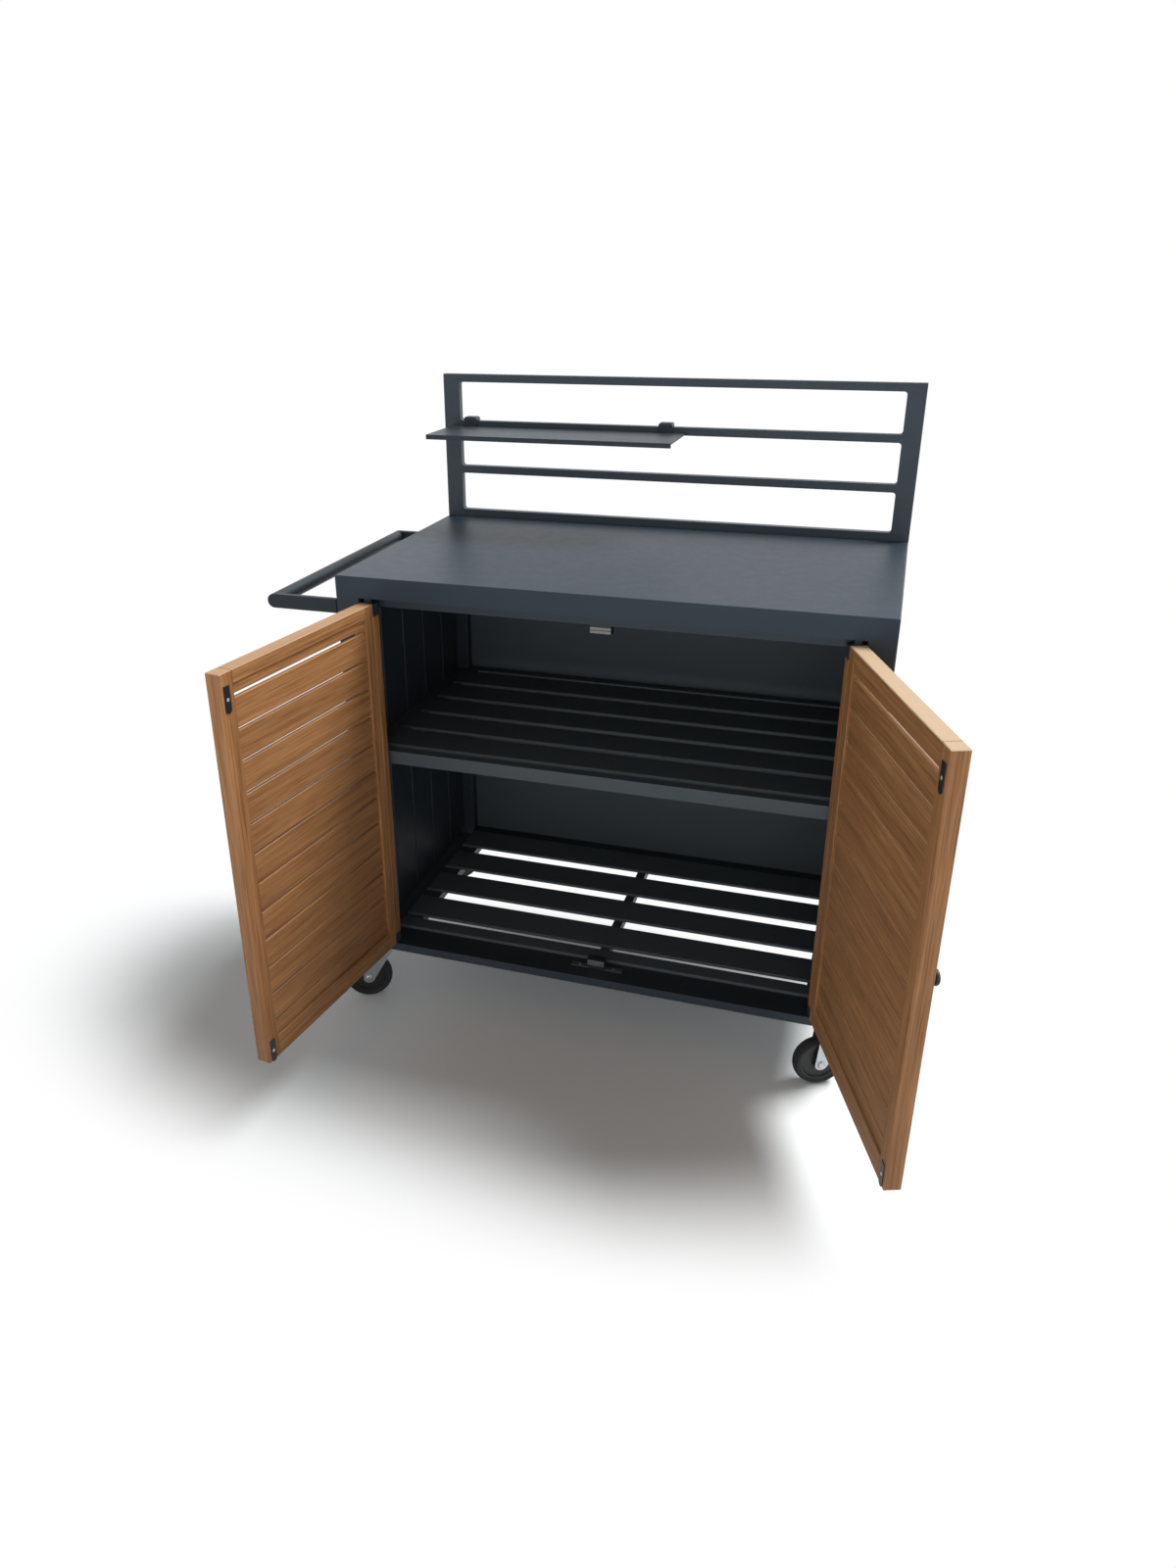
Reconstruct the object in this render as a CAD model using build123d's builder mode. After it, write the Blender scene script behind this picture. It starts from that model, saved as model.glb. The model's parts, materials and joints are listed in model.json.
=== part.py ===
"""Storage trolley for an outdoor kitchen: a coated metal cabinet on four swivel casters, with two slatted
wooden doors on pivots, a slatted deck and shelf, a push handle, and a rail rack with a hook-on shelf.

Millimetres, +Z up, +X to the right of someone who faces the doors, +Y to the back.
The origin is the middle of the worktop's upper face. The doors stand open, as they do at rest.
"""

import os
from math import cos, radians, sin

from build123d import *

# Worktop: a folded pan with a return flange
top_width = 1000.0
top_depth = 575.0
apron_height = 40.0
sheet = 3.0
flange_width = 50.0
top_edge_radius = 2.5

# Cabinet body below the worktop
body_height = 804.0
post_size = 47.0
post_wall = 2.5
post_radius = 3.0
post_base = 6.0
side_panel_thickness = 10.0
side_panel_recess = 10.0
groove_spacing = 100.0
groove_side = 4.0
back_panel_thickness = 3.0
back_panel_recess = 20.0

# Rails of rectangular tube
tube_wall = 2.0
stop_set_back = 30.0
stop_depth = 20.0
stop_drop = 22.0
base_height = 18.0
base_depth = 66.0
base_side_width = 68.0
bearer_width = 20.0

# Bottom deck
slat_thickness = 6.0
slat_end_gap = 2.0
slat_edge = 1.0
deck_start = 62.0
deck_narrow_slat = 35.0
deck_front_gap = 15.0
deck_rear_gap = 59.0
deck_gap = 32.0
deck_wide_slats = 4

# Inner shelf
shelf_drop = 356.0
shelf_rail_height = 27.0
shelf_rail_depth = 25.0
shelf_side_width = 52.0
shelf_start = 52.0
shelf_rear_gap = 75.0
shelf_gap = 16.5
shelf_slat_count = 5

# Rail rack on the back edge
rack_height = 305.0
rack_thickness = 16.0
rack_post_width = 36.0
rack_rail_height = 16.0
rack_rail_count = 4
rack_corner_radius = 6.0
rack_seat = 3.0

# Shelf that hooks over the third rail from the bottom
tray_length = 518.0
tray_depth = 150.0
tray_thickness = 3.0
tray_lip = 9.5
tray_gap = 1.0
tray_drop = 11.0
tray_overhang = 28.0
hook_rail = 2
hook_width = 29.0
hook_gap = 0.5
hook_top = 8.0
hook_leg = 3.0
hook_reach = 12.0
hook_radius = 5.0
hook_corner = 5.0
hook_post_gap = 4.0

# Push handle on the left side
handle_reach = 147.0
handle_arm_height = 27.0
handle_arm_thickness = 12.0
handle_bar_diameter = 27.0
handle_drop = 6.0
handle_edge = 1.5

# Doors: pivoted frames with slats, and a batten around the pivot
left_door_angle = 97.4
right_door_angle = 110.6
door_thickness = 28.0
door_top_gap = 7.0
door_bottom_gap = 2.0
meeting_gap = 2.0
post_gap = 2.0
batten_width = 26.0
batten_radius = 10.0
batten_edge = 1.5
notch_height = 25.0
pivot_from_post = 14.0
pivot_depth = 10.0
top_rail_height = 23.0
bottom_rail_height = 41.0
hinge_stile_width = 24.0
free_stile_width = 30.0
wood_edge = 1.2
door_slat_thickness = 8.0
slat_recess = 4.0
slat_rounding = 2.0
door_slat_count = 11
door_slat_gap = 4.1
top_slat_gap = 6.4
top_strip = 18.4
bottom_strip = 28.6

# Pivots
pin_radius = 4.0
running_clearance = 0.05
pin_collar_radius = 8.0
pin_gap = 0.3
block_recess = 2.0
pin_end_gap = 4.0

# Magnetic catches and the strike plates that they hold
upper_catch_width = 40.0
lower_catch_width = 36.0
catch_depth = 17.0
upper_catch_height = 16.0
lower_catch_height = 20.0
foot_span = 105.0
foot_depth = 12.0
foot_thickness = 2.0
catch_edge = 1.0
pole_thickness = 1.0
pole_height = 5.0
pole_margin = 1.0
pole_spacing = 6.0
strike_width = 13.0
strike_length = 45.0
strike_thickness = 1.5
strike_from_edge = 6.0
strike_from_top = 21.5
strike_radius = 5.5
screw_radius = 3.0
screw_height = 1.5

# Door knobs
knob_slat = 6
knob_below_slat_top = 42.0
knob_from_edge = 38.0
knob_foot_radius = 6.5
knob_neck_radius = 5.5
knob_head_radius = 13.0
knob_length = 38.0
knob_foot_height = 3.0
knob_head_height = 9.0
knob_edge = 2.0
knob_dome = 1.5

# Casters with a threaded stem in each post
wheel_radius = 50.0
tyre_depth = 10.0
wheel_width = 26.0
hub_length = 29.0
hub_radius = 13.0
hub_taper = 2.0
web_width = 14.0
rim_width = 21.0
rim_depth = 5.0
tyre_crown = 4.0
axle_radius = 4.0
axle_head_radius = 7.0
axle_head_height = 4.0
leg_thickness = 3.0
leg_gap = 0.5
leg_foot_radius = 12.0
caster_trail = 29.0
caster_height = 132.0
crown_lead = 26.0
crown_reach = 34.0
crown_thickness = 4.0
crown_bend = 2.5
stem_radius = 6.0
stem_length = 30.0
stem_collar_radius = 18.0
stem_collar_height = 8.0
kingpin_radius = 5.0
kingpin_head_radius = 9.0
kingpin_head_height = 4.0
swivel_gap = 0.3
caster_headings = {
    "front_left": 205.0,
    "front_right": 206.0,
    "rear_left": 203.0,
    "rear_right": 208.0,
}

# Places worked out from the sizes above
front = -top_depth / 2
back = top_depth / 2
half_width = top_width / 2
opening_half = half_width - post_size
panel_inside = half_width - side_panel_recess - side_panel_thickness
post_top = -apron_height
body_bottom = -body_height
base_top = body_bottom + base_height
stop_front = front + stop_set_back
stop_bottom = post_top - stop_drop
back_panel_front = back - back_panel_recess - back_panel_thickness
slat_half = opening_half - slat_end_gap

door_top = post_top - door_top_gap
door_bottom = base_top + door_bottom_gap
pivot_x = opening_half - pivot_from_post
pivot_y = front + pivot_depth
hinge_edge = post_gap + batten_width - pivot_from_post
free_edge = pivot_x - meeting_gap / 2
outer_face = -pivot_depth
inner_face = door_thickness - pivot_depth
slat_inner = inner_face - slat_recess
slat_outer = slat_inner - door_slat_thickness
batten_top = door_top - notch_height
batten_bottom = door_bottom + notch_height

rack_front = back - rack_thickness
rack_inner = half_width - rack_post_width
rack_pitch = (rack_height - rack_rail_height) / (rack_rail_count - 1)

floor = body_bottom - caster_height
axle_height = floor + wheel_radius
post_places = {
    "front_left": (-half_width + post_size / 2, front + post_size / 2),
    "front_right": (half_width - post_size / 2, front + post_size / 2),
    "rear_left": (-half_width + post_size / 2, back - post_size / 2),
    "rear_right": (half_width - post_size / 2, back - post_size / 2),
}

os.makedirs("parts", exist_ok=True)


def save(part, name):
    """Labels a finished piece and writes it under its node's name."""
    part.label = name
    export_step(part, f"parts/{name}.step")


def block(low, high, mode=Mode.ADD):
    """Box between two corners, in the builder's own plane."""
    middle = [(a + b) / 2 for a, b in zip(low, high)]
    size = [b - a for a, b in zip(low, high)]
    with Locations(tuple(middle)):
        Box(*size, mode=mode)


def tube(low, high, along):
    """Rectangular tube between two corners, open at both ends along axis 0, 1 or 2."""
    walls = [0.0 if i == along else tube_wall for i in range(3)]
    block(low, high)
    block(
        [a + w for a, w in zip(low, walls)],
        [b - w for b, w in zip(high, walls)],
        Mode.SUBTRACT,
    )


def slat(start, width, level):
    """Slat across the cabinet, from its front edge and the level that it lies on."""
    block((-slat_half, start, level), (slat_half, start + width, level + slat_thickness))


# Worktop pan, with a step along its rear edge that the rack stands in
with BuildPart() as worktop:
    block((-half_width, front, -apron_height), (half_width, back, 0))
    fillet(worktop.edges().filter_by(Axis.Z), top_edge_radius)
    fillet(worktop.faces().sort_by(Axis.Z)[-1].edges(), top_edge_radius)
    block(
        (-half_width + sheet, front + sheet, -apron_height + sheet),
        (half_width - sheet, back - sheet, -sheet),
        Mode.SUBTRACT,
    )
    block(
        (-half_width + flange_width, front + flange_width, -apron_height),
        (half_width - flange_width, back - flange_width, -apron_height + sheet),
        Mode.SUBTRACT,
    )
    block((-half_width, rack_front, -rack_seat), (half_width, back, 0), Mode.SUBTRACT)
    block(
        (-half_width + sheet, rack_front - sheet, -rack_seat - sheet),
        (half_width - sheet, back - sheet, -rack_seat),
    )
    block(
        (-half_width + sheet, rack_front - sheet, -rack_seat - sheet),
        (half_width - sheet, rack_front, -sheet),
    )
save(worktop.part, "worktop")

# Corner posts: square tube with an end plate that takes the caster's stem
for corner, (post_x, post_y) in post_places.items():
    with BuildPart() as post:
        with BuildSketch(Plane((post_x, post_y, body_bottom))):
            RectangleRounded(post_size, post_size, post_radius)
        extrude(amount=post_top - body_bottom)
        with BuildSketch(Plane((post_x, post_y, body_bottom + post_base))):
            Rectangle(post_size - 2 * post_wall, post_size - 2 * post_wall)
        extrude(amount=post_top - body_bottom - post_base, mode=Mode.SUBTRACT)
        with Locations((post_x, post_y, body_bottom + post_base / 2)):
            Cylinder(stem_radius, post_base, mode=Mode.SUBTRACT)
    save(post.part, f"{corner}_post")

# Side panels: boards with upright grooves, between the posts
for hand, side in (("left", -1), ("right", 1)):
    panel_inner = side * panel_inside
    panel_outer = panel_inner + side * side_panel_thickness
    panel_length = top_depth - 2 * post_size
    panel_middle = (body_bottom + post_top) / 2
    groove_count = int(panel_length / groove_spacing)
    with BuildPart() as side_panel:
        block(
            (min(panel_outer, panel_inner), front + post_size, body_bottom),
            (max(panel_outer, panel_inner), back - post_size, post_top),
        )
        for groove_face in (panel_outer, panel_inner):
            with Locations((groove_face, 0, panel_middle)):
                with GridLocations(1, groove_spacing, 1, groove_count):
                    Box(groove_side, groove_side, body_height, rotation=(0, 0, 45), mode=Mode.SUBTRACT)
    save(side_panel.part, f"{hand}_side_panel")

# Back panel
with BuildPart() as back_panel:
    block((-opening_half, back_panel_front, base_top), (opening_half, back - back_panel_recess, post_top))
save(back_panel.part, "back_panel")

# Stop rail that the doors close against, under the worktop's front
with BuildPart() as stop_rail:
    tube((-opening_half, stop_front, stop_bottom), (opening_half, stop_front + stop_depth, post_top), 0)
save(stop_rail.part, "top_stop_rail")

# Base frame: front and rear rails between the posts, side rails and a middle bearer between those
with BuildPart() as base_front_rail:
    tube((-opening_half, front, body_bottom), (opening_half, front + base_depth, base_top), 0)
save(base_front_rail.part, "base_front_rail")

with BuildPart() as base_rear_rail:
    tube((-opening_half, back - base_depth, body_bottom), (opening_half, back, base_top), 0)
save(base_rear_rail.part, "base_rear_rail")

with BuildPart() as base_side_rails:
    for side in (-1, 1):
        edges = sorted((side * panel_inside, side * (panel_inside - base_side_width)))
        tube((edges[0], front + base_depth, body_bottom), (edges[1], back - base_depth, base_top), 1)
save(base_side_rails.part, "base_side_rails")

with BuildPart() as deck_bearer:
    tube(
        (-bearer_width / 2, front + base_depth, body_bottom),
        (bearer_width / 2, back - base_depth, base_top),
        1,
    )
save(deck_bearer.part, "deck_bearer")

# Deck slats: a narrow one in front, then wide ones
wide_start = front + deck_start + deck_narrow_slat + deck_front_gap
wide_room = back - deck_rear_gap - wide_start
wide_slat = (wide_room - (deck_wide_slats - 1) * deck_gap) / deck_wide_slats
with BuildPart() as deck_slats:
    slat(front + deck_start, deck_narrow_slat, base_top)
    for i in range(deck_wide_slats):
        slat(wide_start + i * (wide_slat + deck_gap), wide_slat, base_top)
    chamfer(deck_slats.faces().group_by(Axis.Z)[-1].edges(), slat_edge)
save(deck_slats.part, "deck_slats")

# Inner shelf: long rails and side rails as a frame, with slats across its top
shelf_top = -shelf_drop
shelf_low = shelf_top - shelf_rail_height
shelf_front = front + stop_set_back
with BuildPart() as shelf_long_rails:
    for rail_front in (shelf_front, back_panel_front - shelf_rail_depth):
        rail_back = rail_front + shelf_rail_depth
        tube((-opening_half, rail_front, shelf_low), (opening_half, rail_back, shelf_top), 0)
save(shelf_long_rails.part, "shelf_long_rails")

with BuildPart() as shelf_side_rails:
    for side in (-1, 1):
        edges = sorted((side * panel_inside, side * (panel_inside - shelf_side_width)))
        tube(
            (edges[0], shelf_front + shelf_rail_depth, shelf_low),
            (edges[1], back_panel_front - shelf_rail_depth, shelf_top),
            1,
        )
save(shelf_side_rails.part, "shelf_side_rails")

shelf_room = top_depth - shelf_start - shelf_rear_gap
shelf_slat = (shelf_room - (shelf_slat_count - 1) * shelf_gap) / shelf_slat_count
with BuildPart() as shelf_slats:
    for i in range(shelf_slat_count):
        slat(front + shelf_start + i * (shelf_slat + shelf_gap), shelf_slat, shelf_top)
    chamfer(shelf_slats.faces().group_by(Axis.Z)[-1].edges(), slat_edge)
save(shelf_slats.part, "shelf_slats")

# Rack posts, with a rounded corner above and below each rail
with BuildPart() as rack_posts:
    for side in (-1, 1):
        edges = sorted((side * half_width, side * rack_inner))
        block((edges[0], rack_front, -rack_seat), (edges[1], back, rack_height))
        for i in range(rack_rail_count):
            rail_low = i * rack_pitch
            corners = [(rail_low + rack_rail_height, 1), (rail_low, -1)]
            for level, up in corners:
                if 0 < level < rack_height:
                    flare_x = side * (rack_inner - rack_corner_radius)
                    flare_z = level + up * rack_corner_radius
                    block(
                        (min(side * rack_inner, flare_x), rack_front, min(level, flare_z)),
                        (max(side * rack_inner, flare_x), back, max(level, flare_z)),
                    )
                    with Locations((flare_x, back - rack_thickness / 2, flare_z)):
                        Cylinder(rack_corner_radius, rack_thickness, rotation=(90, 0, 0), mode=Mode.SUBTRACT)
save(rack_posts.part, "rack_posts")

with BuildPart() as rack_rails:
    for i in range(rack_rail_count):
        rail_low = i * rack_pitch
        foot = rack_seat if i == 0 else 0
        block((-rack_inner, rack_front, rail_low - foot), (rack_inner, back, rail_low + rack_rail_height))
save(rack_rails.part, "rack_rails")

# Hook-on shelf, near the left end of its travel: a tray with a turned-down lip and two hooks over a rail
hooked_low = hook_rail * rack_pitch
hooked_top = hooked_low + rack_rail_height
tray_rear = rack_front - tray_gap
tray_front = tray_rear - tray_depth
tray_top = hooked_top - tray_drop
tray_low = tray_top - tray_thickness
first_hook = -rack_inner + rack_corner_radius + hook_post_gap
tray_left = first_hook - tray_overhang
tray_right = tray_left + tray_length
hook_starts = (first_hook, tray_right - tray_overhang - hook_width)
hook_front = rack_front - tray_gap - hook_leg
hook_back = back + hook_gap + hook_leg
hook_high = hooked_top + hook_gap + hook_top
hook_inside = hook_high - hook_top
hook_end = hook_inside - hook_reach


def hook(start):
    """Strap from the tray up and over the rail, from its left edge, with its upper corners rounded."""
    with BuildPart() as strap:
        with BuildSketch(Plane((start, 0, 0), x_dir=(0, 1, 0), z_dir=(1, 0, 0))):
            with BuildLine():
                FilletPolyline(
                    (hook_front, tray_low),
                    (hook_front, hook_high),
                    (hook_back, hook_high),
                    (hook_back, hook_end),
                    radius=hook_radius,
                )
                Polyline(
                    (hook_back, hook_end),
                    (hook_back - hook_leg, hook_end),
                    (hook_back - hook_leg, hook_inside),
                    (tray_rear, hook_inside),
                    (tray_rear, tray_low),
                    (hook_front, tray_low),
                )
            make_face()
        extrude(amount=hook_width)
        with BuildSketch(Plane((start, 0, 0), x_dir=(1, 0, 0), z_dir=(0, -1, 0))) as outline:
            with Locations((hook_width / 2, (tray_low + hook_high) / 2)):
                Rectangle(hook_width, hook_high - tray_low)
            fillet(outline.vertices().group_by(Axis.Y)[-1], hook_corner)
        extrude(amount=top_depth, both=True, mode=Mode.INTERSECT)
    return strap.part


with BuildPart() as hook_shelf:
    block((tray_left, tray_front, tray_low), (tray_right, tray_rear, tray_top))
    block((tray_left, tray_front, tray_top - tray_lip), (tray_right, tray_front + tray_thickness, tray_low))
    for hook_start in hook_starts:
        add(hook(hook_start))
save(hook_shelf.part, "hook_shelf")

# Push handle: two flat arms with rounded ends, and a round bar between them
arm_middle = post_top - handle_drop - handle_arm_height / 2
arm_end = -half_width - handle_reach + handle_arm_height / 2
with BuildPart() as handle_arms:
    for arm_front in (front, back - handle_arm_thickness):
        with BuildSketch(Plane((0, arm_front, arm_middle), x_dir=(1, 0, 0), z_dir=(0, -1, 0))):
            with Locations(((arm_end - half_width) / 2, 0)):
                Rectangle(-half_width - arm_end, handle_arm_height)
            with Locations((arm_end, 0)):
                Circle(handle_arm_height / 2)
        extrude(amount=-handle_arm_thickness)
    chamfer(handle_arms.faces().filter_by(Axis.Y).edges(), handle_edge)
save(handle_arms.part, "handle_arms")

with BuildPart() as handle_bar:
    with Locations((arm_end, 0, arm_middle)):
        Cylinder(handle_bar_diameter / 2, top_depth - 2 * handle_arm_thickness, rotation=(90, 0, 0))
save(handle_bar.part, "handle_bar")

# Magnetic catches: one under the stop rail, one on a foot plate on the base rail
catch_front = stop_front + pole_thickness
catch_back = catch_front + catch_depth
catch_middle = (catch_front + catch_back) / 2
upper_half = upper_catch_width / 2
lower_half = lower_catch_width / 2
upper_catch_low = stop_bottom - upper_catch_height
with BuildPart() as upper_catch:
    block((-upper_half, catch_front, upper_catch_low), (upper_half, catch_back, stop_bottom))
    chamfer(upper_catch.edges().filter_by(Axis.Z), catch_edge)
save(upper_catch.part, "upper_catch")

foot_top = base_top + foot_thickness
lower_catch_top = foot_top + lower_catch_height
with BuildPart() as lower_catch:
    block((-lower_half, catch_front, foot_top), (lower_half, catch_back, lower_catch_top))
    chamfer(lower_catch.edges().filter_by(Axis.Z), catch_edge)
save(lower_catch.part, "lower_catch")

# Steel plates of the catches: the foot plate, and two poles at each catch's free end
foot_half = foot_span / 2
foot_front = catch_middle - foot_depth / 2
upper_pole_low = upper_catch_low + pole_margin
lower_pole_low = lower_catch_top - pole_margin - pole_spacing - pole_height
with BuildPart() as catch_plates:
    block((-foot_half, foot_front, base_top), (foot_half, foot_front + foot_depth, foot_top))
    for first_low, catch_half in ((upper_pole_low, upper_half), (lower_pole_low, lower_half)):
        pole_half = catch_half - catch_edge
        for pole_low in (first_low, first_low + pole_spacing):
            block((-pole_half, stop_front, pole_low), (pole_half, catch_front, pole_low + pole_height))
save(catch_plates.part, "catch_plates")

foot_screw_x = (foot_half + lower_half) / 2
with BuildPart() as catch_screws:
    for side in (-1, 1):
        with Locations((side * foot_screw_x, catch_middle, foot_top)):
            Cylinder(screw_radius, screw_height, align=(Align.CENTER, Align.CENTER, Align.MIN))
        with Locations((side * upper_half / 2, catch_middle, upper_catch_low)):
            Cylinder(screw_radius, screw_height, align=(Align.CENTER, Align.CENTER, Align.MAX))
save(catch_screws.part, "catch_screws")

# Pivot pins for the doors: a collar on the frame, and a pin that stands in the door's pivot block
upper_block_top = door_top - block_recess
lower_block_low = door_bottom + block_recess
pin_reach = notch_height - block_recess - pin_end_gap
with BuildPart() as pivot_pins:
    for side in (-1, 1):
        for seat, block_end, up in ((post_top, upper_block_top, -1), (base_top, lower_block_low, 1)):
            collar_end = block_end - up * pin_gap
            pin_end = block_end + up * pin_reach
            with Locations((side * pivot_x, pivot_y, (seat + collar_end) / 2)):
                Cylinder(pin_collar_radius, abs(collar_end - seat))
            with Locations((side * pivot_x, pivot_y, (seat + pin_end) / 2)):
                Cylinder(pin_radius, abs(pin_end - seat))
save(pivot_pins.part, "pivot_pins")


def door_plane(side, opened):
    """Plane on a door's pivot axis with X along the door, for a door opened by this many degrees."""
    along = (-side * cos(radians(opened)), -sin(radians(opened)), 0)
    return Plane((side * pivot_x, pivot_y, 0), x_dir=along, z_dir=(0, 0, 1))


def door_block(facing, along, across, heights):
    """Box in a door's plane, given from the pivot axis: along the door, across to its inner face, and up.
    facing is 1 where the plane's Y points to the inner face, and -1 where it points away."""
    ends = sorted(facing * a for a in across)
    block((along[0], ends[0], heights[0]), (along[1], ends[1], heights[1]))


def rounded_strip(plane, facing, low, high):
    """Upright strip along a door's hinge edge, rounded on the side of the post."""
    strip_middle = hinge_edge - batten_width / 2
    across_middle = facing * (outer_face + inner_face) / 2
    with BuildPart() as strip:
        with BuildSketch(plane.offset(low)) as outline:
            with Locations((strip_middle, across_middle)):
                Rectangle(batten_width, door_thickness)
            fillet(outline.vertices().sort_by(Axis.X)[:2], batten_radius)
        extrude(amount=high - low)
    return strip.part


def make_door(hand, side, opened):
    """Makes and saves the pieces of one door. side is -1 for the left door and 1 for the right one."""
    plane = door_plane(side, opened)
    facing = -side
    thickness = (outer_face, inner_face)
    panel_top = door_top - top_rail_height
    panel_bottom = door_bottom + bottom_rail_height
    panel_left = hinge_edge + hinge_stile_width
    panel_right = free_edge - free_stile_width

    with BuildPart(plane) as rails:
        for low, high in ((panel_top, door_top), (door_bottom, panel_bottom)):
            door_block(facing, (panel_left, panel_right), thickness, (low, high))
        chamfer(rails.edges().filter_by(Axis(plane.origin, plane.x_dir)), wood_edge)
    save(rails.part, f"{hand}_door_rails")

    with BuildPart(plane) as stiles:
        for along in ((hinge_edge, panel_left), (panel_right, free_edge)):
            door_block(facing, along, thickness, (door_bottom, door_top))
        chamfer(stiles.edges(), wood_edge)
    save(stiles.part, f"{hand}_door_stiles")

    panel_height = panel_top - panel_bottom
    gaps = [top_slat_gap] + [door_slat_gap] * door_slat_count
    slat_height = (panel_height - top_strip - bottom_strip - sum(gaps)) / door_slat_count
    heights = [top_strip] + [slat_height] * door_slat_count + [bottom_strip]
    slat_tops = [panel_top]
    for height, gap in zip(heights, gaps):
        slat_tops.append(slat_tops[-1] - height - gap)
    with BuildPart(plane) as slats:
        for slat_top, height in zip(slat_tops, heights):
            door_block(
                facing,
                (panel_left, panel_right),
                (slat_outer, slat_inner),
                (slat_top - height, slat_top),
            )
        fillet(slats.edges().filter_by(Axis(plane.origin, plane.x_dir)), slat_rounding)
    save(slats.part, f"{hand}_door_slats")

    with BuildPart() as batten:
        add(rounded_strip(plane, facing, batten_bottom, batten_top))
        upright = batten.edges().filter_by(Axis.Z).sort_by(Axis(plane.origin, plane.x_dir))
        chamfer(upright[-2:], batten_edge)
    save(batten.part, f"{hand}_door_batten")

    with BuildPart() as pivot_blocks:
        add(rounded_strip(plane, facing, batten_top, upper_block_top))
        add(rounded_strip(plane, facing, lower_block_low, batten_bottom))
        with Locations(plane):
            Cylinder(pin_radius + running_clearance, 2 * body_height, mode=Mode.SUBTRACT)
    save(pivot_blocks.part, f"{hand}_pivot_blocks")

    strike_outer = free_edge - strike_from_edge
    strike_middle = strike_outer - strike_width / 2
    upper_strike_top = door_top - strike_from_top
    strike_spans = (
        (upper_strike_top - strike_length, upper_strike_top),
        (door_bottom, door_bottom + strike_length),
    )
    strike_y = facing * (inner_face + strike_thickness / 2)
    with BuildPart(plane) as strikes:
        for low, high in strike_spans:
            door_block(
                facing,
                (strike_outer - strike_width, strike_outer),
                (inner_face, inner_face + strike_thickness),
                (low, high),
            )
            low_corners = strikes.edges().filter_by(Axis(plane.origin, plane.y_dir)).group_by(Axis.Z)[0]
            fillet(low_corners, strike_radius)
            with Locations((strike_middle, strike_y, (low + high) / 2)):
                Cylinder(screw_radius, strike_thickness, rotation=(90, 0, 0), mode=Mode.SUBTRACT)
    save(strikes.part, f"{hand}_strike_plates")

    with BuildPart(plane) as strike_screws:
        for low, high in strike_spans:
            with Locations((strike_middle, strike_y, (low + high) / 2)):
                Cylinder(screw_radius, strike_thickness, rotation=(90, 0, 0))
    save(strike_screws.part, f"{hand}_strike_screws")

    knob_height = slat_tops[knob_slat] - knob_below_slat_top
    knob_foot = plane.from_local_coords((free_edge - knob_from_edge, facing * slat_outer, knob_height))
    outward = plane.y_dir * -facing
    knob_plane = Plane(knob_foot, x_dir=(0, 0, 1), z_dir=Vector(0, 0, 1).cross(outward))
    head_low = knob_length - knob_head_height
    rim_middle = head_low + knob_head_height / 2
    with BuildPart() as knob:
        with BuildSketch(knob_plane):
            with BuildLine():
                Polyline(
                    (0, knob_length),
                    (0, 0),
                    (knob_foot_radius, 0),
                    (knob_foot_radius, knob_foot_height),
                    (knob_neck_radius, 2 * knob_foot_height),
                    (knob_neck_radius, head_low - knob_edge),
                    (knob_head_radius - knob_edge, head_low),
                )
                ThreePointArc(
                    (knob_head_radius - knob_edge, head_low),
                    (knob_head_radius, rim_middle),
                    (knob_head_radius - knob_edge, knob_length - knob_dome),
                )
                Spline(
                    (knob_head_radius - knob_edge, knob_length - knob_dome),
                    (0, knob_length),
                    tangents=[(-1, 0.5), (-1, 0)],
                )
            make_face()
        revolve(axis=Axis(knob_foot, outward))
    save(knob.part, f"{hand}_door_knob")


make_door("left", -1, left_door_angle)
make_door("right", 1, right_door_angle)

# Caster stems: thread in the post, collar under it, and a kingpin with a riveted head
crown_top = body_bottom - stem_collar_height - swivel_gap
crown_bottom = crown_top - crown_thickness
kingpin_end = crown_bottom - swivel_gap
with BuildPart() as caster_stems:
    for stem_x, stem_y in post_places.values():
        stem_parts = (
            (stem_radius, body_bottom, body_bottom + stem_length),
            (stem_collar_radius, body_bottom - stem_collar_height, body_bottom),
            (kingpin_radius, kingpin_end, body_bottom),
            (kingpin_head_radius, kingpin_end - kingpin_head_height, kingpin_end),
        )
        for radius, low, high in stem_parts:
            with Locations((stem_x, stem_y, (low + high) / 2)):
                Cylinder(radius, high - low)
save(caster_stems.part, "caster_stems")


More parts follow.
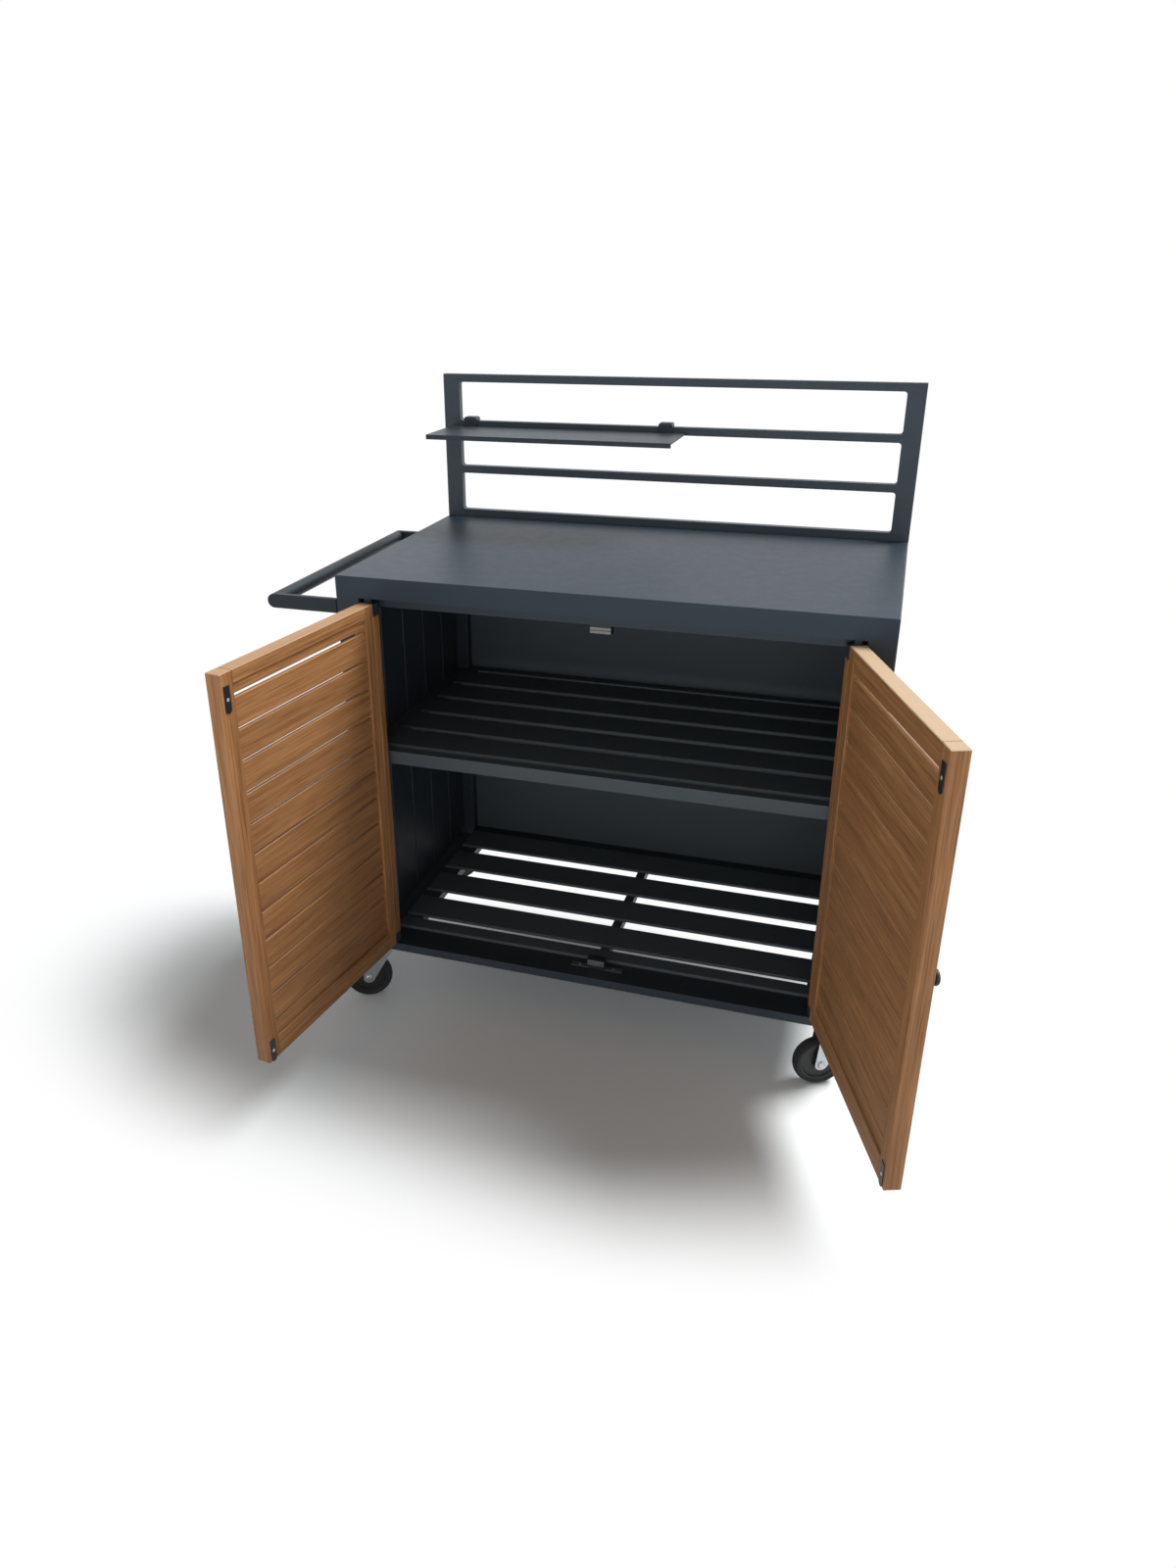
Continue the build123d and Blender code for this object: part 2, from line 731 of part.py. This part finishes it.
def make_caster(corner, heading):
    """Makes and saves a fork, its axle and its wheel. heading is where the wheel trails to, in degrees."""
    stem_x, stem_y = post_places[corner]
    trail = Vector(cos(radians(heading)), sin(radians(heading)), 0)
    plane = Plane((stem_x, stem_y, 0), x_dir=trail, z_dir=(0, 0, 1))
    sideways = plane.y_dir
    axle_centre = plane.from_local_coords((caster_trail, 0, axle_height))
    leg_inner = hub_length / 2 + leg_gap
    leg_outer = leg_inner + leg_thickness

    with BuildPart(plane) as fork:
        block((-crown_lead, -leg_outer, crown_bottom), (crown_reach, leg_outer, crown_top))
        for leg_start in (leg_outer, -leg_inner):
            leg_foot = plane.from_local_coords((0, leg_start, 0))
            with BuildSketch(Plane(leg_foot, x_dir=trail, z_dir=-sideways)):
                with Locations((caster_trail, axle_height)):
                    Circle(leg_foot_radius)
                with Locations(((crown_reach - crown_lead) / 2, (crown_top + crown_bottom) / 2)):
                    Rectangle(crown_lead + crown_reach, crown_thickness)
                make_hull()
            extrude(amount=leg_thickness)
        bends = fork.edges().filter_by(Axis(plane.origin, plane.x_dir)).group_by(Axis.Z)[-1]
        fillet(bends, crown_bend)
        with Locations((caster_trail, 0, axle_height)):
            Cylinder(axle_radius, 2 * leg_outer, rotation=(90, 0, 0), mode=Mode.SUBTRACT)
        with Locations((0, 0, (crown_top + crown_bottom) / 2)):
            Cylinder(kingpin_radius + running_clearance, crown_thickness, mode=Mode.SUBTRACT)
    save(fork.part, f"{corner}_fork")

    with BuildPart(plane) as axle:
        with Locations((caster_trail, 0, axle_height)):
            Cylinder(axle_radius, 2 * leg_outer, rotation=(90, 0, 0))
        for end in (-1, 1):
            with Locations((caster_trail, end * (leg_outer + axle_head_height / 2), axle_height)):
                Cylinder(axle_head_radius, axle_head_height, rotation=(90, 0, 0))
        head_rims = axle.edges().filter_by(GeomType.CIRCLE).sort_by(Axis(axle_centre, sideways))
        fillet([head_rims[0], head_rims[-1]], axle_head_height / 2)
    save(axle.part, f"{corner}_axle")

    wheel_plane = Plane(axle_centre, x_dir=sideways, z_dir=sideways.cross(Vector(0, 0, 1)))
    wheel_axis = Axis(axle_centre, sideways)
    rim_radius = wheel_radius - tyre_depth
    bore_radius = axle_radius + running_clearance
    half_profile = [
        (hub_length / 2, bore_radius),
        (hub_length / 2, hub_radius),
        (web_width / 2, hub_radius + hub_taper),
        (web_width / 2, rim_radius - rim_depth - hub_taper),
        (rim_width / 2, rim_radius - rim_depth),
        (rim_width / 2, rim_radius),
    ]
    with BuildPart() as hub:
        with BuildSketch(wheel_plane):
            with BuildLine():
                Polyline(*half_profile, *[(-x, y) for x, y in reversed(half_profile)], close=True)
            make_face()
        revolve(axis=wheel_axis)
    save(hub.part, f"{corner}_hub")

    shoulder = wheel_radius - tyre_crown
    bead = rim_radius + hub_taper
    with BuildPart() as tyre:
        with BuildSketch(wheel_plane):
            with BuildLine():
                Polyline(
                    (-wheel_width / 2, shoulder),
                    (-wheel_width / 2, bead),
                    (-rim_width / 2, rim_radius),
                    (rim_width / 2, rim_radius),
                    (wheel_width / 2, bead),
                    (wheel_width / 2, shoulder),
                )
                ThreePointArc((wheel_width / 2, shoulder), (0, wheel_radius), (-wheel_width / 2, shoulder))
            make_face()
        revolve(axis=wheel_axis)
    save(tyre.part, f"{corner}_tyre")


for corner, heading in caster_headings.items():
    make_caster(corner, heading)
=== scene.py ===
"""Looks for the storage trolley: coated metal, teak, zinc, rubber and plastic, in a white studio."""

import json
import math
from collections import namedtuple

import bpy
from mathutils import Matrix, Vector


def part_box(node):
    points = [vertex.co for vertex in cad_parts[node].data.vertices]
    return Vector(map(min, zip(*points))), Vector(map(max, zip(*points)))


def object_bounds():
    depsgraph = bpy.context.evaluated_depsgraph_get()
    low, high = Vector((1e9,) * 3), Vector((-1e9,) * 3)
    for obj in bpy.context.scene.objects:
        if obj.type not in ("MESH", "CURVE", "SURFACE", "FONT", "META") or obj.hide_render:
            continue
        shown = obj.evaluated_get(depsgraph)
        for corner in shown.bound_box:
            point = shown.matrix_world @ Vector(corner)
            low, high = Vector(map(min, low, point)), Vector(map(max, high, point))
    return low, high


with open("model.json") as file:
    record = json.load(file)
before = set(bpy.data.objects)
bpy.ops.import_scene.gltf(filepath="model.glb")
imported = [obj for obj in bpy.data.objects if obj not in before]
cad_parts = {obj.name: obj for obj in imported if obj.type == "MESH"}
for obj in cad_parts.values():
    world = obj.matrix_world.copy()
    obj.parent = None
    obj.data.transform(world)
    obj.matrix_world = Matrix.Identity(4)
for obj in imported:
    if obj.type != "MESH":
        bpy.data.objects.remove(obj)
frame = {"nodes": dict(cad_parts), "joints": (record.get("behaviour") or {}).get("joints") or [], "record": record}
cad_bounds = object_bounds()
scene = bpy.context.scene

# Photographed view: the camera in the CAD frame, in metres, and its lens in pixels of a 1200 x 1600 picture
PICTURE_WIDTH = 1200
PICTURE_HEIGHT = 1600
FOCAL_PIXELS = 1134.48
AXIS_PIXEL = (548.04, 773.71)
CAMERA_PLACE = Vector((0.4838, -2.0794, 0.5198))
CAMERA_FORWARD = Vector((-0.2874, 0.8675, -0.4060))
CAMERA_RIGHT = Vector((0.9506, 0.3104, -0.0096))
SENSOR = 36.0
CLIP_END = 100.0

# Doors at rest: headings in degrees, from hinge ranges that start at the closed door, and heights in metres
hinge_starts = {joint["name"]: joint["range_deg"][0] for joint in frame["joints"] if joint.get("range_deg")}
LEFT_HEADING = hinge_starts["left_door_hinge"]
RIGHT_HEADING = 180.0 - hinge_starts["right_door_hinge"]
DOOR_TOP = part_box("left_door_stiles")[1].z
FIRST_GAP = -0.0928
SLAT_PITCH = 0.05633

# Floor, in metres: its tone as a surface and to the camera, and an oval over whose rim it fades to white
FLOOR = cad_bounds[0][2]
FLOOR_HALF = 14.0
FLOOR_TONE = (0.86, 0.86, 0.86, 1)
FLOOR_SEEN = (1.03, 1.06, 1.07, 1)
OVAL_MIDDLE = (-0.20, -0.20)
OVAL_SIDE = 1.25
OVAL_FRONT = 0.65
OVAL_BACK = 0.35

# Shares of the oval between which the floor fades
FADE_FROM = 0.62
FADE_TO = 1.08

# Light: the world's strength low down and overhead, and the sun's direction, power and spread in degrees
HORIZON_LIGHT = 0.7
ZENITH_LIGHT = 0.0
SUN_FROM = Vector((0.65, 0.52, 1.10))
SUN_POWER = 3.16
SUN_SPREAD = 24.0

# Colours are scene-linear, with alpha
WHITE = (1, 1, 1, 1)


def linear(red, green, blue):
    """Scene-linear colour of an 8-bit display colour, by the sRGB curve."""

    def channel(value):
        value /= 255.0
        if value <= 0.04045:
            return value / 12.92
        return ((value + 0.055) / 1.055) ** 2.4

    return (channel(red), channel(green), channel(blue), 1.0)


class Graph:
    """Node tree of a material or world, with short calls to add and join nodes."""

    def __init__(self, owner):
        owner.use_nodes = True
        self.owner = owner
        self.tree = owner.node_tree
        self.shader = self.tree.nodes.get("Principled BSDF") or self.tree.nodes.get("Background")
        self.output = self.tree.nodes.get("Material Output") or self.tree.nodes.get("World Output")

    def add(self, kind, settings=None, **inputs):
        """New node. An underscore in an input's keyword stands for a space in the socket's name."""
        node = self.tree.nodes.new(kind)
        for key, value in (settings or {}).items():
            setattr(node, key, value)
        for key, value in inputs.items():
            self.put(node, key.replace("_", " "), value)
        return node

    def put(self, node, socket, value):
        """Links another node's output to a socket, or sets the socket to a plain value."""
        target = node.inputs[socket]
        if isinstance(value, bpy.types.NodeSocket):
            self.tree.links.new(value, target)
        else:
            target.default_value = value

    def math(self, operation, first, second=0.0):
        node = self.add("ShaderNodeMath", {"operation": operation})
        self.put(node, 0, first)
        self.put(node, 1, second)
        return node.outputs[0]

    def scaled(self, value, factor, start):
        return self.math("ADD", self.math("MULTIPLY", value, factor), start)

    def about(self, value, middle, spread):
        """A value from 0 to 1 brought to half a spread below and above a middle."""
        return self.scaled(value, spread, middle - spread / 2)

    def vector(self, x, y, z):
        return self.add("ShaderNodeCombineXYZ", X=x, Y=y, Z=z).outputs["Vector"]

    def split(self, vector):
        return self.add("ShaderNodeSeparateXYZ", Vector=vector).outputs

    def coordinate(self, kind):
        return self.add("ShaderNodeTexCoord").outputs[kind]

    def ramp(self, factor, stops):
        node = self.add("ShaderNodeValToRGB", Fac=factor)
        elements = node.color_ramp.elements
        while len(elements) < len(stops):
            elements.new(0.5)
        for element, (place, colour) in zip(elements, stops):
            element.position = place
            element.color = colour
        return node.outputs["Color"]

    def mix(self, factor, first, second, blend="MIX"):
        node = self.add("ShaderNodeMixRGB", {"blend_type": blend}, Fac=factor, Color1=first, Color2=second)
        return node.outputs["Color"]

    def noise(self, vector, scale, detail, roughness=0.55, distortion=0.0):
        node = self.add(
            "ShaderNodeTexNoise",
            Vector=vector,
            Scale=scale,
            Detail=detail,
            Roughness=roughness,
            Distortion=distortion,
        )
        return node.outputs["Fac"]

    def chance(self, value):
        """A draw from 0 to 1 that is always the same for the same value."""
        return self.add("ShaderNodeTexWhiteNoise", {"noise_dimensions": "1D"}, W=value).outputs["Value"]

    def seen(self):
        """1 for what is seen, also in a gloss or through glass, and 0 for light on its way to a surface."""
        path = self.add("ShaderNodeLightPath").outputs
        through = self.math("MAXIMUM", path["Is Glossy Ray"], path["Is Transmission Ray"])
        return self.math("MAXIMUM", path["Is Camera Ray"], through)

    def bump(self, height, strength, distance):
        node = self.add("ShaderNodeBump", Height=height, Strength=strength, Distance=distance)
        self.put(self.shader, "Normal", node.outputs["Normal"])

    def finish(self, **values):
        """Sets the shader's sockets and returns the material or world."""
        for key, value in values.items():
            self.put(self.shader, key.replace("_", " "), value)
        return self.owner


def material_graph(name):
    return Graph(bpy.data.materials.new(name))


# Powder coat: its reflection, the dust in its tone, the play of its gloss, and what counts as a rear face
COAT_GLOSS = 0.36
# Painted reflection: COAT_TINT tints the coat's reflections cool blue, standing in for a bluish surrounding
COAT_TINT = (0.78, 0.92, 1.0, 1)
COAT_DUST = 0.55
COAT_PLAY = 0.16
REARWARD = 0.5


def coat(name, tone, worn, rough, rear=None):
    """Powder coat: a fine pebbled grain, faint dust and handling marks. rear is the tone of rear faces."""
    g = material_graph(name)
    place = g.coordinate("Object")
    dust = g.noise(place, scale=5.0, detail=5.0)
    marks = g.noise(place, scale=38.0, detail=6.0, roughness=0.7)
    pebbles = g.noise(place, scale=1900.0, detail=2.0)
    colour = g.mix(g.math("MULTIPLY", dust, COAT_DUST), linear(*tone), linear(*worn))
    # Painted light: a coat given a rear tone is lightened on its inside faces, and its rear faces keep the plain
    # tone
    if rear:
        behind = g.math("GREATER_THAN", g.split(g.coordinate("Normal"))["Y"], REARWARD)
        colour = g.mix(behind, colour, linear(*rear))
    g.bump(pebbles, strength=0.02, distance=0.0004)
    return g.finish(
        Base_Color=colour,
        Roughness=g.about(marks, rough, COAT_PLAY),
        Specular_IOR_Level=COAT_GLOSS,
        Specular_Tint=COAT_TINT,
    )


# Small parts: the play of their gloss, and how much finer their grain is than their clouds
PLAIN_PLAY = 0.2
PLAIN_FINENESS = 14.0


def plain(name, first, second, rough, clouds, metal=0.0, grain=0.05):
    """Small parts: two close tones in clouds of a given scale, with a grain of their own."""
    g = material_graph(name)
    place = g.coordinate("Object")
    cloud = g.noise(place, scale=clouds, detail=5.0, roughness=0.6)
    fine = g.noise(place, scale=clouds * PLAIN_FINENESS, detail=3.0)
    g.bump(fine, strength=grain, distance=0.0004)
    return g.finish(
        Base_Color=g.mix(cloud, linear(*first), linear(*second)),
        Roughness=g.about(cloud, rough, PLAIN_PLAY),
        Metallic=metal,
    )


# Teak: tones by the figure's noise, the tint and share of its pores, pale tones of painted light for upward faces
# and top faces, and its gloss and play
TEAK_TONES = (
    (0.26, linear(126, 84, 49)),
    (0.44, linear(152, 106, 65)),
    (0.58, linear(166, 118, 74)),
    (0.78, linear(184, 135, 89)),
)
PORE_TINTS = ((0.36, (0.46, 0.38, 0.31, 1)), (0.52, WHITE))
PORE_SHARE = 0.6
LIT_UPWARD_TONE = linear(214, 170, 120)
LIT_TOP_TONE = linear(226, 198, 164)
TEAK_GLOSS = 0.35
TEAK_ROUGH = 0.58
TEAK_PLAY = 0.2
BOARD_PLAY = 0.12

# Where a door gets painted light: how far up a face looks before it is lightened, the depth of its top skin, and
# the height at which the painted light and shade by height leaves its tone plain
UPWARD = 0.35
TOP_SKIN = 0.002
PLAIN_LEVEL = -0.34

# Boards of a piece, told apart across the grain: where the first starts, and the pitch from one to the next
Boards = namedtuple("Boards", "start pitch")
SLATS = Boards(start=FIRST_GAP, pitch=SLAT_PITCH)
WIDE = Boards(start=0.0, pitch=0.25)

# Painted light on a door: how much its top face is paled by a painted highlight, how much its upward faces and
# upper arrises are lightened by painted light, and how much painted light and shade lightens it per metre of
# height
PaintedLight = namedtuple("PaintedLight", "paled worn fading")


def teak(name, turn, upright, boards, painted_light, seed):
    """Oiled teak. turn is the piece's heading in degrees about Z, along which its grain runs unless it is
    upright. Every board gets its own tone and figure, drawn from its number and the seed."""
    g = material_graph(name)
    turned = g.add(
        "ShaderNodeVectorRotate",
        {"rotation_type": "Z_AXIS"},
        Vector=g.coordinate("Object"),
        Angle=-math.radians(turn),
    )
    along, across, level = g.split(turned.outputs["Vector"])
    height = level
    if upright:
        along, height = height, along
    count = g.math("DIVIDE", g.math("SUBTRACT", height, boards.start), boards.pitch)
    luck = g.chance(g.math("ADD", g.math("FLOOR", count), seed))

    def grain(stretch, fineness, slide, lift):
        """Place in the wood, stretched along the grain and shifted by the board's draw."""
        return g.vector(
            g.math("ADD", g.math("MULTIPLY", along, stretch), g.math("MULTIPLY", luck, slide)),
            g.math("MULTIPLY", across, fineness),
            g.math("ADD", g.math("MULTIPLY", height, fineness), g.math("MULTIPLY", luck, lift)),
        )

    figure = g.noise(
        grain(stretch=1.6, fineness=52.0, slide=7.0, lift=31.0),
        scale=1.9,
        detail=6.0,
        roughness=0.62,
        distortion=0.6,
    )
    pores = g.noise(
        grain(stretch=9.0, fineness=420.0, slide=0.0, lift=90.0),
        scale=1.0,
        detail=3.0,
        roughness=0.6,
    )
    wood = g.mix(PORE_SHARE, g.ramp(figure, TEAK_TONES), g.ramp(pores, PORE_TINTS), "MULTIPLY")
    upward = g.math("GREATER_THAN", g.split(g.coordinate("Normal"))["Z"], UPWARD)
    topmost = g.math("MULTIPLY", upward, g.math("GREATER_THAN", level, DOOR_TOP - TOP_SKIN))
    # Painted light: faces that look up, upper arrises among them, are lightened towards a pale tone as if lit from
    # above
    wood = g.mix(g.math("MULTIPLY", upward, painted_light.worn), wood, LIT_UPWARD_TONE)
    # Painted highlight: the door's top face turns towards a pale tone, much more on the right door
    wood = g.mix(g.math("MULTIPLY", topmost, painted_light.paled), wood, LIT_TOP_TONE)
    # Painted light and shade: the door gets lighter higher up and darker lower down, plain at PLAIN_LEVEL
    height_shaded = g.scaled(level, painted_light.fading, 1.0 - painted_light.fading * PLAIN_LEVEL)
    value = g.math("MULTIPLY", height_shaded, g.about(luck, 1.0, BOARD_PLAY))
    toned = g.add("ShaderNodeHueSaturation", Color=wood, Value=value)
    g.bump(pores, strength=0.18, distance=0.0006)
    return g.finish(
        Base_Color=toned.outputs["Color"],
        Roughness=g.about(figure, TEAK_ROUGH, TEAK_PLAY),
        Specular_IOR_Level=TEAK_GLOSS,
    )


# Finishes of the metal and plastic, in 8-bit display tones. Several coats below are copies of one anthracite coat,
# lightened or darkened with painted light or shade
LIT_INSIDE_TONES = ((70, 76, 80), (78, 84, 88))
anthracite = coat("anthracite_coat", (44, 50, 57), (52, 58, 65), rough=0.44)
# Painted reflection: the worktop's coat is the anthracite coat shifted towards blue, for the cool tint of its
# reflection
worktop_coat_blue_reflection = coat("anthracite_worktop_blue_reflection", (41, 50, 61), (49, 58, 69), rough=0.44)
# Painted shade: the handle's coat is the anthracite coat darkened
shaded_handle_coat = coat("anthracite_shaded_handle", (33, 38, 44), (40, 45, 51), rough=0.46)
# Painted light: the rack's coat is the anthracite coat lightened
lit_rack_coat = coat("anthracite_lit_rack", (60, 67, 74), (68, 75, 82), rough=0.44)
# Painted light: the inside, panel and deck slat coats are the anthracite coat lightened to stand in for light
# inside the trolley
lit_inside_coat = coat("anthracite_lit_inside", *LIT_INSIDE_TONES, rough=0.5)
lit_panel_coat = coat("anthracite_panel_lit_inside", *LIT_INSIDE_TONES, rough=0.5, rear=(46, 52, 59))
lit_slat_coat = coat("anthracite_lit_slats", (84, 91, 95), (92, 99, 103), rough=0.5)
zinc = plain("zinc_plate", (196, 199, 203), (168, 172, 178), rough=0.34, clouds=60.0, metal=1.0)
steel = plain("stainless", (190, 190, 188), (160, 160, 160), rough=0.38, clouds=90.0, metal=1.0)
pole_steel = plain("pole_plate", (128, 128, 127), (108, 108, 108), rough=0.5, clouds=90.0, metal=1.0)
# Stainless screw heads with a painted highlight: near white and only partly metallic, so that they glint like
# domed heads
screw_steel_and_glint = plain("screw_head_glint", (222, 222, 219), (205, 205, 203), rough=0.4, clouds=90.0, metal=0.3)
black_steel = plain("black_plate", (30, 30, 32), (40, 40, 42), rough=0.42, clouds=120.0, grain=0.08)
plastic = plain("black_moulded", (24, 24, 25), (32, 32, 33), rough=0.5, clouds=150.0, grain=0.1)
pivot_plastic = plain("pivot_moulded", (40, 44, 51), (48, 52, 59), rough=0.5, clouds=150.0, grain=0.1)
hub_plastic = plain("wheel_centre", (14, 14, 15), (21, 21, 22), rough=0.5, clouds=120.0, grain=0.08)
rubber = plain("tyre_rubber", (11, 11, 12), (18, 18, 19), rough=0.72, clouds=90.0, grain=0.2)

# Nodes with a material of their own, some of them coat copies with painted light or shade, and the finish of each
# material slot for the rest
own = dict(
    worktop=worktop_coat_blue_reflection,
    rack_posts=lit_rack_coat,
    rack_rails=lit_rack_coat,
    handle_arms=shaded_handle_coat,
    handle_bar=shaded_handle_coat,
    back_panel=lit_panel_coat,
    deck_slats=lit_slat_coat,
    deck_bearer=lit_inside_coat,
    base_side_rails=lit_inside_coat,
    shelf_slats=lit_inside_coat,
    shelf_side_rails=lit_inside_coat,
    shelf_long_rails=lit_inside_coat,
    catch_plates=pole_steel,
    left_strike_screws=screw_steel_and_glint,
    right_strike_screws=screw_steel_and_glint,
    pivot_pins=anthracite,
    left_pivot_blocks=pivot_plastic,
    right_pivot_blocks=pivot_plastic,
)
by_slot = dict(
    coated_metal=anthracite,
    black_plastic=plastic,
    black_steel=black_steel,
    steel=steel,
    zinc=zinc,
    wheel_plastic=hub_plastic,
    tyre_rubber=rubber,
)

# Doors: each with its heading, painted light and seed, and each piece with its grain, boards and step from that
# seed
DOORS = (
    ("left", LEFT_HEADING, PaintedLight(paled=0.28, worn=0.08, fading=0.52), 3.0),
    ("right", RIGHT_HEADING, PaintedLight(paled=0.86, worn=0.5, fading=0.0), 41.0),
)
DOOR_PIECES = (
    ("slats", False, SLATS, 0.0),
    ("rails", False, WIDE, 5.0),
    ("stiles", True, WIDE, 9.0),
    ("batten", True, WIDE, 14.0),
)
for hand, heading, painted_light, seed in DOORS:
    for piece, upright, boards, step in DOOR_PIECES:
        wood = teak(f"teak_{hand}_{piece}", heading, upright, boards, painted_light, seed + step)
        own[f"{hand}_door_{piece}"] = wood

slots = {part["node"]: part["material_slot"] for part in frame["record"]["subparts"]}
for name, obj in frame["nodes"].items():
    obj.data.materials.clear()
    obj.data.materials.append(own.get(name) or by_slot[slots[name]])


def floor_material():
    """Pale floor: it takes the shadow near the trolley, and is plain white to the camera further out."""
    g = material_graph("floor_pale")
    spot = g.split(g.coordinate("Object"))
    across = g.math("DIVIDE", g.math("SUBTRACT", spot["X"], OVAL_MIDDLE[0]), OVAL_SIDE)
    behind = g.math("SUBTRACT", spot["Y"], OVAL_MIDDLE[1])
    deep = g.math("MAXIMUM", g.math("DIVIDE", behind, OVAL_BACK), g.math("DIVIDE", behind, -OVAL_FRONT))
    distance = g.add("ShaderNodeVectorMath", {"operation": "LENGTH"})
    g.put(distance, 0, g.vector(across, deep, 0.0))
    far = g.add(
        "ShaderNodeMapRange",
        {"interpolation_type": "SMOOTHSTEP"},
        Value=distance.outputs["Value"],
        From_Min=FADE_FROM,
        From_Max=FADE_TO,
    )
    seen = g.seen()
    pale = g.add("ShaderNodeBsdfDiffuse", Color=g.mix(seen, FLOOR_TONE, FLOOR_SEEN))
    white = g.add("ShaderNodeEmission", Color=WHITE)
    blend = g.add("ShaderNodeMixShader", Fac=g.math("MULTIPLY", far.outputs["Result"], seen))
    g.put(blend, 1, pale.outputs["BSDF"])
    g.put(blend, 2, white.outputs["Emission"])
    g.put(g.output, "Surface", blend.outputs["Shader"])
    return g.owner


def add_object(name, data):
    obj = bpy.data.objects.new(name, data)
    scene.collection.objects.link(obj)
    return obj


def make_floor():
    """Wide square floor at the height of the wheels' lowest points."""
    mesh = bpy.data.meshes.new("studio_floor")
    corners = [(x * FLOOR_HALF, y * FLOOR_HALF, FLOOR) for x, y in ((-1, -1), (1, -1), (1, 1), (-1, 1))]
    mesh.from_pydata(corners, [], [(0, 1, 2, 3)])
    mesh.materials.append(floor_material())
    obj = add_object("studio_floor", mesh)


def aim(obj, place, target):
    obj.location = place
    obj.rotation_euler = (Vector(target) - Vector(place)).to_track_quat("-Z", "Y").to_euler()


def make_panel(name, place, target, width, height, radiance):
    """Soft box that faces the target, with its brightness given as radiance, where 1 is white."""
    data = bpy.data.lights.new(name, "AREA")
    data.shape = "RECTANGLE"
    data.size = width
    data.size_y = height
    data.energy = radiance * math.pi * width * height
    obj = add_object(name, data)
    obj.visible_camera = False
    aim(obj, place, target)


def make_sun():
    """Key light from behind on the right, as soft as a large soft box."""
    data = bpy.data.lights.new("key", "SUN")
    data.energy = SUN_POWER
    data.angle = math.radians(SUN_SPREAD)
    aim(add_object("key", data), SUN_FROM, (0, 0, 0))


def make_world():
    """White surroundings: pure white where seen, and a softer light that is brighter low down."""
    world = bpy.data.worlds.new("studio")
    scene.world = world
    g = Graph(world)
    rise = g.math("MAXIMUM", g.split(g.coordinate("Generated"))["Z"], 0.0)
    glow = g.scaled(rise, ZENITH_LIGHT - HORIZON_LIGHT, HORIZON_LIGHT)
    seen = g.seen()
    light = g.math("MULTIPLY", g.math("SUBTRACT", 1.0, seen), glow)
    g.finish(Color=WHITE, Strength=g.math("ADD", seen, light))


def make_camera():
    """Camera fitted to the photographed corners."""
    data = bpy.data.cameras.new("photo_camera")
    obj = add_object("photo_camera", data)
    forward = CAMERA_FORWARD.normalized()
    right = (CAMERA_RIGHT - forward * CAMERA_RIGHT.dot(forward)).normalized()
    up = right.cross(forward)
    turn = Matrix((right, up, -forward)).transposed()
    obj.matrix_world = Matrix.Translation(CAMERA_PLACE) @ turn.to_4x4()
    data.sensor_fit = "VERTICAL"
    data.sensor_height = SENSOR
    data.sensor_width = SENSOR
    data.lens = FOCAL_PIXELS / PICTURE_HEIGHT * SENSOR
    data.shift_x = (PICTURE_WIDTH / 2 - AXIS_PIXEL[0]) / PICTURE_HEIGHT
    data.shift_y = (AXIS_PIXEL[1] - PICTURE_HEIGHT / 2) / PICTURE_HEIGHT
    data.dof.use_dof = False
    data.clip_end = CLIP_END
    scene.camera = obj


make_floor()
make_world()
make_camera()
make_sun()
make_panel("back_panel_light", (-0.4, 4.2, 1.7), (0, 0, 0), width=7.0, height=4.0, radiance=0.1)
make_panel("front_low_light", (0.3, -4.2, 0.0), (0, 0, -0.4), width=3.0, height=1.4, radiance=1.2)

scene.view_settings.view_transform = "Standard"
